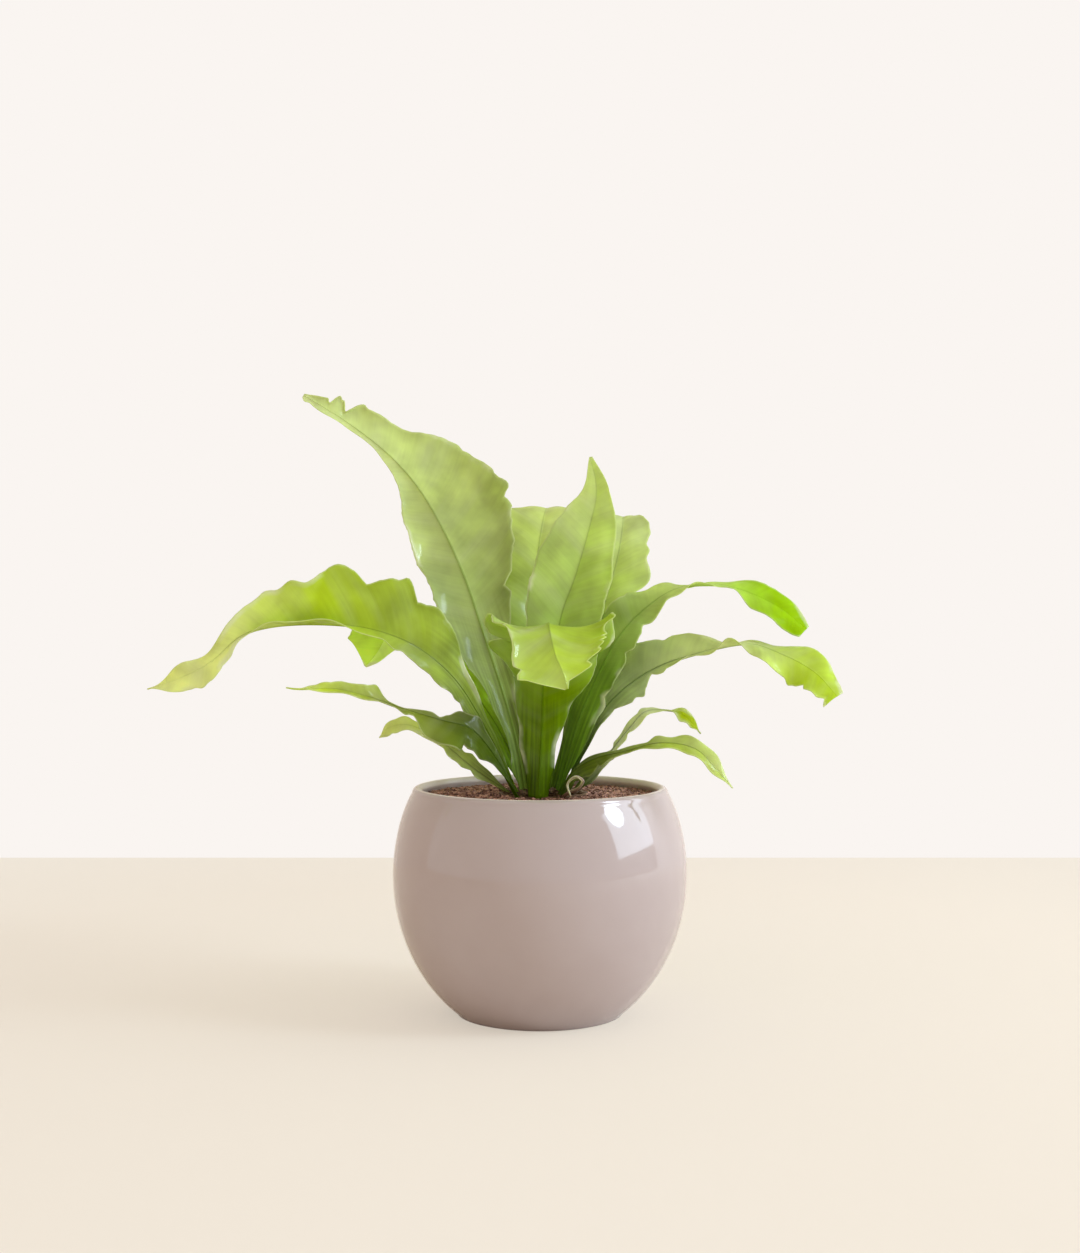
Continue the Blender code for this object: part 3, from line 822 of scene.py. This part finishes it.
            (38, 88, 214, 16, 10, 16, 10),
            (46, 122, 222, 18, 5, 18, 5),
            (50, 150, 210, 14, 0, 14, 0),
            (52, 168, 194, 1, 0, 1, 0),
        ),
    ),
    "withered": dict(
        heading=-20, ruffle=0.8, wave=9, phase=0.5, lobe=0.10, bow=0.20,
        stations=(
            (15, -25, 143, 1.2, 30, 1.2, 30),
            (19, -33, 147, 1.2, 30, 1.2, 30),
            (24, -41, 150, 1.4, 40, 1.4, 25),
            (27, -44, 155, 1.6, 60, 1.6, 10),
            (22, -45, 158, 1.4, 60, 1.4, 0),
            (17, -44, 153, 1.0, 40, 1.0, 0),
            (19, -45, 146, 0.5, 0, 0.5, 0),
        ),
    ),
}

# Greens of each frond: at the stalk, low and high on the blade, and at the tip. The dark stalk and low greens
# are partly the frond's own colour and partly painted shade deep in the rosette. The last two values are how
# much painted sheen is added at the tip of its left half and of its right half. Below 0, it takes some away.
GREENS = {
    "tall_left": (0x8CA844, 0xA6B86C, 0xC8D684, 0xDAE6A4, 0.16, 0.02),
    # long_left's lime high green is partly painted light shining through its arch.
    "long_left": (0x6C8814, 0xA4B850, 0xC2D828, 0xECF2A8, 0.04, 0.00),
    "drooping_left": (0x6C9410, 0xB0D420, 0xC8E438, 0xDCF468, 0.00, 0.16),
    "low_left": (0x4A6408, 0x5E7210, 0xA8BA44, 0xD4E64C, 0.02, 0.14),
    # small_left's greens are painted lighter: painted light on a frond that lies in shade.
    "small_left": (0xA0AC60, 0xCCDC80, 0xD8E480, 0xE4EC94, 0.04, 0.04),
    "front": (0x5E7E00, 0x82A602, 0xA6C438, 0xC8DE50, 0.00, 0.10),
    "tall_centre": (0x6C8C24, 0xA8C858, 0xC4DC70, 0xDEEE98, 0.14, 0.00),
    "back_left": (0x6C8C24, 0xB0C668, 0xC2D06E, 0xDAE694, 0.00, 0.06),
    "back_right": (0x6C8C24, 0xB8CC70, 0xD4E490, 0xDCE8B0, 0.00, 0.00),
    "high_right": (0x6C9424, 0x80A830, 0xD0E284, 0xAED800, -0.10, -0.14),
    "mid_right": (0x58781C, 0xB4C488, 0xD8E2A0, 0xCCE43C, 0.08, 0.00),
    # thin_right's pale low and high greens are a painted sheen on its stalk.
    "thin_right": (0x6A7A38, 0xDCE4C0, 0xE4ECC8, 0xB0C208, -0.12, -0.12),
    "low_right": (0x4C6410, 0x7E922C, 0xBCD054, 0xCEDE70, 0.20, 0.00),
    "rear_left": (0x4E7A1C, 0x9CB850, 0xB4C864, 0xC4D67C, 0.06, 0.00),
    "rear_centre": (0x4E7A1C, 0x9CB850, 0xB4C864, 0xC4D67C, 0.06, 0.00),
    "rear_right": (0x4E7A1C, 0x9CB850, 0xB4C864, 0xC4D67C, 0.06, 0.00),
    "withered": (0x9A7A68, 0xD4BCB4, 0xE0C8C4, 0xE4D0CC, 0.00, 0.00),
}


def through(rows, steps):
    """A smooth curve through the rows of a table, with this many steps between two rows."""
    rows = np.array(rows, float)
    padded = np.vstack([2 * rows[0] - rows[1], rows, 2 * rows[-1] - rows[-2]])
    samples = []
    for before, start, end, after in zip(padded, padded[1:], padded[2:], padded[3:]):
        slope = end - before
        bend = 2 * before - 5 * start + 4 * end - after
        jerk = 3 * (start - end) + after - before
        for t in np.arange(steps) / steps:
            samples.append(start + 0.5 * t * (slope + t * (bend + t * jerk)))
    return np.array(samples + [rows[-1]])


def wander(distances, seed):
    """Smooth noise of about -1 to 1 that changes over each unit of distance."""
    return np.array([NOISE_GAIN * noise.noise(Vector((distance, seed, 0.5))) for distance in distances])


def marked(frond, hand, travelled):
    """How far one margin stands out of its plain line: round lobes, and pointed notches where it is torn."""
    out = np.zeros(len(travelled))
    for mark_hand, at, length, reach in frond.get("marks", ()):
        if mark_hand == hand:
            near = np.clip(1.0 - np.abs(travelled - at) / length, 0.0, 1.0)
            out += reach * (near * near * (3.0 - 2.0 * near) if reach > 0 else near)
    return out


def blade(frond, seed):
    """The frond's middle surface as [station, across, xyz] and each station's distance along it, in mm."""
    table = through(frond["stations"], STEPS_PER_STATION)
    rib = table[:, :3]
    along = np.gradient(rib, axis=0)
    along /= np.linalg.norm(along, axis=1)[:, None]
    heading = math.radians(frond["heading"])
    side = np.array([-math.sin(heading), math.cos(heading), 0.0])
    side = side - (along @ side)[:, None] * along
    side /= np.linalg.norm(side, axis=1)[:, None]
    up = np.cross(along, side)
    travelled = np.concatenate([[0.0], np.cumsum(np.linalg.norm(np.diff(rib, axis=0), axis=1))])
    grown = np.clip(travelled / RUFFLE_LENGTH, 0.0, 1.0) ** 2
    wave = frond["wave"]
    points = []
    for share in [*HALF_COLUMNS[:0:-1], *-HALF_COLUMNS]:
        hand = 1 if share > 0 or (share == 0 and not points) else -1
        width, lift = (table[:, 3], table[:, 4]) if share > 0 else (table[:, 5], table[:, 6])
        lift = np.radians(lift)[:, None]
        outward = hand * side * np.cos(lift) + up * np.sin(lift)
        normal = up * np.cos(lift) - hand * side * np.sin(lift)
        # The margin's outline: the frond's own width, its lobes, nicks and marks.
        drift = WAVE_DRIFT[1] * wander(travelled / (WAVE_DRIFT[0] * wave), seed + 3 * hand)
        turn = math.tau * travelled / wave + frond["phase"] + MARGIN_SHIFT * hand + drift
        frayed = sum(
            depth * wander(travelled / length, seed + draw * hand) for depth, length, draw in FRAYING
        )
        margin = np.maximum(width, LEAST_WIDTH) * (1 + frond["lobe"] * np.cos(turn) + frayed)
        margin = np.maximum(margin + marked(frond, hand, travelled), LEAST_WIDTH)
        reach = abs(share) * margin
        # How far this line lies off the flat half blade: its bow, ruffle, slow swells and curled edge.
        waves = frond["ruffle"] * grown * np.minimum(width / RUFFLE_WIDTH, 1.0)
        height = 1.0 + WAVE_HEIGHT[1] * wander(travelled / (WAVE_HEIGHT[0] * wave), seed + 11 * hand)
        bend = frond["bow"] * width * 4 * abs(share) * (1 - abs(share))
        bend += waves * height * np.sin(turn) * share**2
        rolled = 1.0 + wander(travelled / ROLL_LENGTH, seed + 17 * hand)
        bend += MARGIN_ROLL * width * rolled * max((abs(share) - ROLL_START) / (1 - ROLL_START), 0.0) ** 2
        swell = SWELL[1] * wander(travelled / SWELL[0] + share * SWELL[2], seed + 13 * hand) * waves
        points.append(rib + outward * reach[:, None] + normal * (bend + swell * abs(share))[:, None])
    return np.array(points).transpose(1, 0, 2), travelled


# Patterns of the leaf, in repeats per metre: one number for a cloud, or one along the blade and one across.
PATCH_SCALE = 28.0  # patches of lighter and darker green, 36 mm wide
SPECKLE_SCALE = 55.0  # smaller spots, 18 mm wide
VEIN_SCALE = (420.0, 28.0, 1.0)  # side veins 2.4 mm apart, each 36 mm long: as fine as still shows
VEIN_SLANT = -0.6
VEIN_SHARE = 0.25  # how much of the leaf's light and dark is veins
STRAND_SCALE = (14.0, 520.0, 1.0)  # fibres of the stalk, 1.9 mm apart and 71 mm long
BAND_SCALE = (70.0, 16.0, 1.0)  # bands of painted sheen along the veins, 14 mm apart and 63 mm long
GREEN_STOPS = (0.18, 0.45, 0.75, 1.0)  # where the four greens lie, as shares of the frond's length
PATCH_DRIFT = 0.24  # how far a patch moves them

# What the patterns turn into. Those along the frond are shares of its length, those off a line are in metres.
SPOTS_TO_SHADE = {"From Min": 0.40, "From Max": 0.85, "To Min": 0.84, "To Max": 1.12}
STRANDS_TO_SHADE = {"From Min": 0.35, "From Max": 0.65, "To Min": -0.44, "To Max": 0.34}
STRANDS_ALONG = {"From Min": 0.04, "From Max": 0.42, "To Min": 1.0, "To Max": 0.0}
BANDS_TO_SHEEN = {"From Min": 0.46, "From Max": 0.70, "To Min": 0.0, "To Max": 0.22}
# Painted glints: pale patches in a strip along each margin, where it turns up to the light.
PATCHES_TO_GLINTS = {"From Min": 0.56, "From Max": 0.66, "To Min": 0.0, "To Max": 0.8}
MARGIN_GLINT_STRIP = {"From Min": 0.001, "From Max": 0.004, "To Min": 1.0, "To Max": 0.0}
SHEEN_TO_GLOSS = {"From Max": 0.25, "To Min": 0.06, "To Max": 0.9}
RIB_LINE = {"From Min": 0.0003, "To Min": 0.8, "To Max": 0.0}
RIB_LINE_WIDTH = {"To Min": 0.0014, "To Max": 0.0005}
RIB_FADE = -1.1
# Painted rim highlight: a pale line along each margin, which fades in along the frond from the stalk.
RIM_HIGHLIGHT_LINE = {"From Min": 0.0003, "From Max": 0.0012, "To Min": 0.55, "To Max": 0.0}
RIM_HIGHLIGHT_ALONG = {"From Min": 0.1, "From Max": 0.5}
# Painted sheen: the pale colour laid on the leaf where the window's light would shine off it.
PAINTED_SHEEN_COLOUR = 0xE4E8CC
RIM_HIGHLIGHT_COLOUR = 0xE6EEB4
THROUGH_LEAF = (1.15, 1.25, 0.35)  # light that has passed through the blade is yellower
LIGHT_THROUGH = 0.35


def leaf_surface(name, greens, length):
    """Living leaf: leathery and half matt, with light through it, and glossy where its painted sheen is
    thick.

    Its greens run from stalk to tip in soft patches, with slanting side veins, fibres in the stalk and a dark
    line along the midrib. A painted sheen lies over them, with painted glints in places along the margins and
    a painted rim highlight along each margin.
    """
    *run, sheen_on_left, sheen_on_right = greens
    look, tree = new_material(name)
    uv = add_node(tree, "ShaderNodeUVMap", uv_map="blade").outputs[0]
    split = add_node(tree, "ShaderNodeSeparateXYZ", {"Vector": uv})
    along, across = split.outputs["X"], split.outputs["Y"]
    off_rib = add_node(tree, "ShaderNodeMath", {0: across}, operation="ABSOLUTE").outputs[0]
    from_margin = add_node(tree, "ShaderNodeAttribute", attribute_name="from_margin").outputs["Fac"]
    share = add_node(tree, "ShaderNodeMath", {0: along, 1: length}, operation="DIVIDE").outputs[0]
    place = add_node(tree, "ShaderNodeTexCoord").outputs["Object"]

    # The run of greens, shifted by the patches.
    patches = add_node(
        tree, "ShaderNodeTexNoise", {"Vector": place, "Scale": PATCH_SCALE, "Detail": 3.0}
    ).outputs["Fac"]
    drift = add_node(tree, "ShaderNodeMath", {0: patches, 1: PATCH_DRIFT, 2: share}, operation="MULTIPLY_ADD")
    green = add_node(tree, "ShaderNodeValToRGB", {"Fac": drift.outputs[0]})
    stops = green.color_ramp.elements
    while len(stops) < len(GREEN_STOPS):
        stops.new(1.0)
    for stop, position, colour in zip(stops, GREEN_STOPS, run):
        stop.position, stop.color = position, linear(colour)

    # Its depth: slanting veins over small spots, and long fibres low on the stalk.
    slant = add_node(tree, "ShaderNodeMath", {0: off_rib, 1: VEIN_SLANT, 2: along}, operation="MULTIPLY_ADD")
    vein_plane = add_node(tree, "ShaderNodeCombineXYZ", {"X": slant.outputs[0], "Y": across}).outputs[0]
    fine = add_node(tree, "ShaderNodeMapping", {"Vector": vein_plane, "Scale": VEIN_SCALE}).outputs[0]
    veins = add_node(tree, "ShaderNodeTexNoise", {"Vector": fine, "Scale": 1.0, "Detail": 2.0}).outputs["Fac"]
    spots = add_node(
        tree, "ShaderNodeTexNoise", {"Vector": place, "Scale": SPECKLE_SCALE, "Detail": 2.0}
    ).outputs["Fac"]
    spots = add_node(tree, "ShaderNodeMath", {0: veins, 1: VEIN_SHARE, 2: spots}, operation="MULTIPLY_ADD")
    depth = add_node(tree, "ShaderNodeMapRange", {"Value": spots.outputs[0], **SPOTS_TO_SHADE}).outputs[0]
    stalk_plane = add_node(tree, "ShaderNodeCombineXYZ", {"X": along, "Y": across}).outputs[0]
    long = add_node(tree, "ShaderNodeMapping", {"Vector": stalk_plane, "Scale": STRAND_SCALE}).outputs[0]
    strands = add_node(tree, "ShaderNodeTexNoise", {"Vector": long, "Scale": 1.0, "Detail": 2.0})
    strands = add_node(tree, "ShaderNodeMapRange", {"Value": strands.outputs["Fac"], **STRANDS_TO_SHADE})
    low = add_node(tree, "ShaderNodeMapRange", {"Value": share, **STRANDS_ALONG}).outputs[0]
    depth = add_node(
        tree, "ShaderNodeMath", {0: strands.outputs[0], 1: low, 2: depth}, operation="MULTIPLY_ADD"
    ).outputs[0]
    skin = add_node(
        tree, "ShaderNodeVectorMath", {0: green.outputs[0], "Scale": depth}, operation="SCALE"
    ).outputs[0]

    # The painted sheen: its own share on each half, in bands along the veins, and painted glints in places
    # along the margins.
    left = add_node(tree, "ShaderNodeMath", {0: across, 1: 0.0}, operation="GREATER_THAN").outputs[0]
    painted_sheen = add_node(tree, "ShaderNodeMapRange", {"Value": left, "To Min": sheen_on_right, "To Max": sheen_on_left})
    painted_sheen = add_node(tree, "ShaderNodeMath", {0: painted_sheen.outputs[0], 1: share}, operation="MULTIPLY").outputs[0]
    wide = add_node(tree, "ShaderNodeMapping", {"Vector": vein_plane, "Scale": BAND_SCALE}).outputs[0]
    bands = add_node(tree, "ShaderNodeTexNoise", {"Vector": wide, "Scale": 1.0, "Detail": 1.0}).outputs["Fac"]
    bands = add_node(tree, "ShaderNodeMapRange", {"Value": bands, **BANDS_TO_SHEEN}).outputs[0]
    painted_sheen = add_node(
        tree, "ShaderNodeMath", {0: bands, 1: share, 2: painted_sheen}, operation="MULTIPLY_ADD"
    ).outputs[0]
    glint_patches = add_node(tree, "ShaderNodeMapRange", {"Value": patches, **PATCHES_TO_GLINTS}).outputs[0]
    glint_strip = add_node(tree, "ShaderNodeMapRange", {"Value": from_margin, **MARGIN_GLINT_STRIP}).outputs[0]
    painted_sheen = add_node(
        tree, "ShaderNodeMath", {0: glint_patches, 1: glint_strip, 2: painted_sheen}, operation="MULTIPLY_ADD"
    ).outputs[0]
    skin = add_node(
        tree, "ShaderNodeMix", {0: painted_sheen, 6: skin, 7: linear(PAINTED_SHEEN_COLOUR)}, data_type="RGBA"
    ).outputs[2]

    # The dark line along the midrib, which narrows and fades, and the painted rim highlight along each
    # margin.
    rib_width = add_node(tree, "ShaderNodeMapRange", {"Value": share, **RIB_LINE_WIDTH}).outputs[0]
    rib = add_node(
        tree, "ShaderNodeMapRange", {"Value": off_rib, "From Max": rib_width, **RIB_LINE}
    ).outputs[0]
    fading = add_node(
        tree, "ShaderNodeMath", {0: share, 1: RIB_FADE, 2: -RIB_FADE}, operation="MULTIPLY_ADD"
    ).outputs[0]
    rib = add_node(tree, "ShaderNodeMath", {0: rib, 1: fading}, operation="MULTIPLY").outputs[0]
    skin = add_node(
        tree, "ShaderNodeMix", {0: rib, 6: skin, 7: linear(run[0])}, data_type="RGBA"
    ).outputs[2]
    rim_highlight = add_node(tree, "ShaderNodeMapRange", {"Value": from_margin, **RIM_HIGHLIGHT_LINE}).outputs[0]
    grown = add_node(tree, "ShaderNodeMapRange", {"Value": share, **RIM_HIGHLIGHT_ALONG}).outputs[0]
    rim_highlight = add_node(tree, "ShaderNodeMath", {0: rim_highlight, 1: grown}, operation="MULTIPLY").outputs[0]
    skin = add_node(
        tree, "ShaderNodeMix", {0: rim_highlight, 6: skin, 7: linear(RIM_HIGHLIGHT_COLOUR)}, data_type="RGBA"
    ).outputs[2]

    # The surface: fine quilting between the veins, broad creases, and a coat of wax over a half matt leaf.
    quilt = add_node(tree, "ShaderNodeBump", {"Height": veins, "Strength": 0.35, "Distance": 0.0003})
    crease = add_node(
        tree,
        "ShaderNodeBump",
        {"Height": patches, "Strength": 0.5, "Distance": 0.003, "Normal": quilt.outputs[0]},
    ).outputs[0]
    gloss = add_node(tree, "ShaderNodeMapRange", {"Value": painted_sheen, **SHEEN_TO_GLOSS}).outputs[0]
    waxed = add_node(
        tree,
        "ShaderNodeBsdfPrincipled",
        {
            "Base Color": skin,
            "Roughness": 0.45,
            "Specular IOR Level": 0.06,
            "Coat Weight": gloss,
            "Coat Roughness": 0.10,
            "Normal": crease,
        },
    ).outputs[0]
    passed = add_node(tree, "ShaderNodeVectorMath", {0: skin, 1: THROUGH_LEAF}, operation="MULTIPLY")
    glow = add_node(
        tree, "ShaderNodeBsdfTranslucent", {"Color": passed.outputs[0], "Normal": crease}
    ).outputs[0]
    leaf = add_node(tree, "ShaderNodeMixShader", {0: LIGHT_THROUGH, 1: waxed, 2: glow}).outputs[0]
    add_node(tree, "ShaderNodeOutputMaterial", {"Surface": leaf})
    return look


def frond_piece(name, frond, seed):
    """The blade as a flat grid bent to the frond's surface. Its thickness swells to a rounded midrib."""
    middle, travelled = blade(frond, seed)
    length = travelled[-1]
    rings, columns = middle.shape[:2]
    off_rib = np.linalg.norm(middle - middle[:, columns // 2][:, None], axis=2)
    hand = np.sign(columns // 2 - np.arange(columns))
    width = np.where(hand > 0, off_rib[:, :1], off_rib[:, -1:])
    shape = bmesh.new()
    bmesh.ops.create_grid(shape, x_segments=rings - 1, y_segments=columns - 1, size=1.0)
    shape.verts.index_update()
    order = [
        (round((point.co.x + 1) / 2 * (rings - 1)), round((1 - point.co.y) / 2 * (columns - 1)))
        for point in shape.verts
    ]
    uv = shape.loops.layers.uv.new("blade")
    for face in shape.faces:
        for loop in face.loops:
            ring, column = order[loop.vert.index]
            loop[uv].uv = (travelled[ring] * MM, hand[column] * off_rib[ring, column] * MM)
    from_margin = shape.verts.layers.float.new("from_margin")
    for point, (ring, column) in zip(shape.verts, order):
        point.co = Vector(middle[ring, column]) * MM
        point[from_margin] = (width[ring, column] - off_rib[ring, column]) * MM
    bmesh.ops.recalc_face_normals(shape, faces=shape.faces)
    piece = finish_object(name + "_blade", shape, leaf_surface(name + "_leaf", GREENS[name], length * MM))
    taper = (1.0 - RIB_TAPER * travelled / length)[:, None]
    swell = np.exp(-((off_rib / (RIB_HALF_WIDTH * taper)) ** 2)) * taper
    share = (BLADE_THICKNESS + (RIB_THICKNESS - BLADE_THICKNESS) * swell) / RIB_THICKNESS
    midrib = piece.vertex_groups.new(name="midrib")
    for index, (ring, column) in enumerate(order):
        midrib.add([index], share[ring, column], "REPLACE")
    thicken = piece.modifiers.new("thickness", "SOLIDIFY")
    thicken.thickness = RIB_THICKNESS * MM
    thicken.offset = 0.0
    thicken.vertex_group = "midrib"
    return piece


for number, (name, frond) in enumerate(FRONDS.items()):
    piece = frond_piece(name, frond, SEED_STEP * number)
    node = "withered_frond" if name == "withered" else "frond_" + name
    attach(piece, "root")
    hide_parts(node)
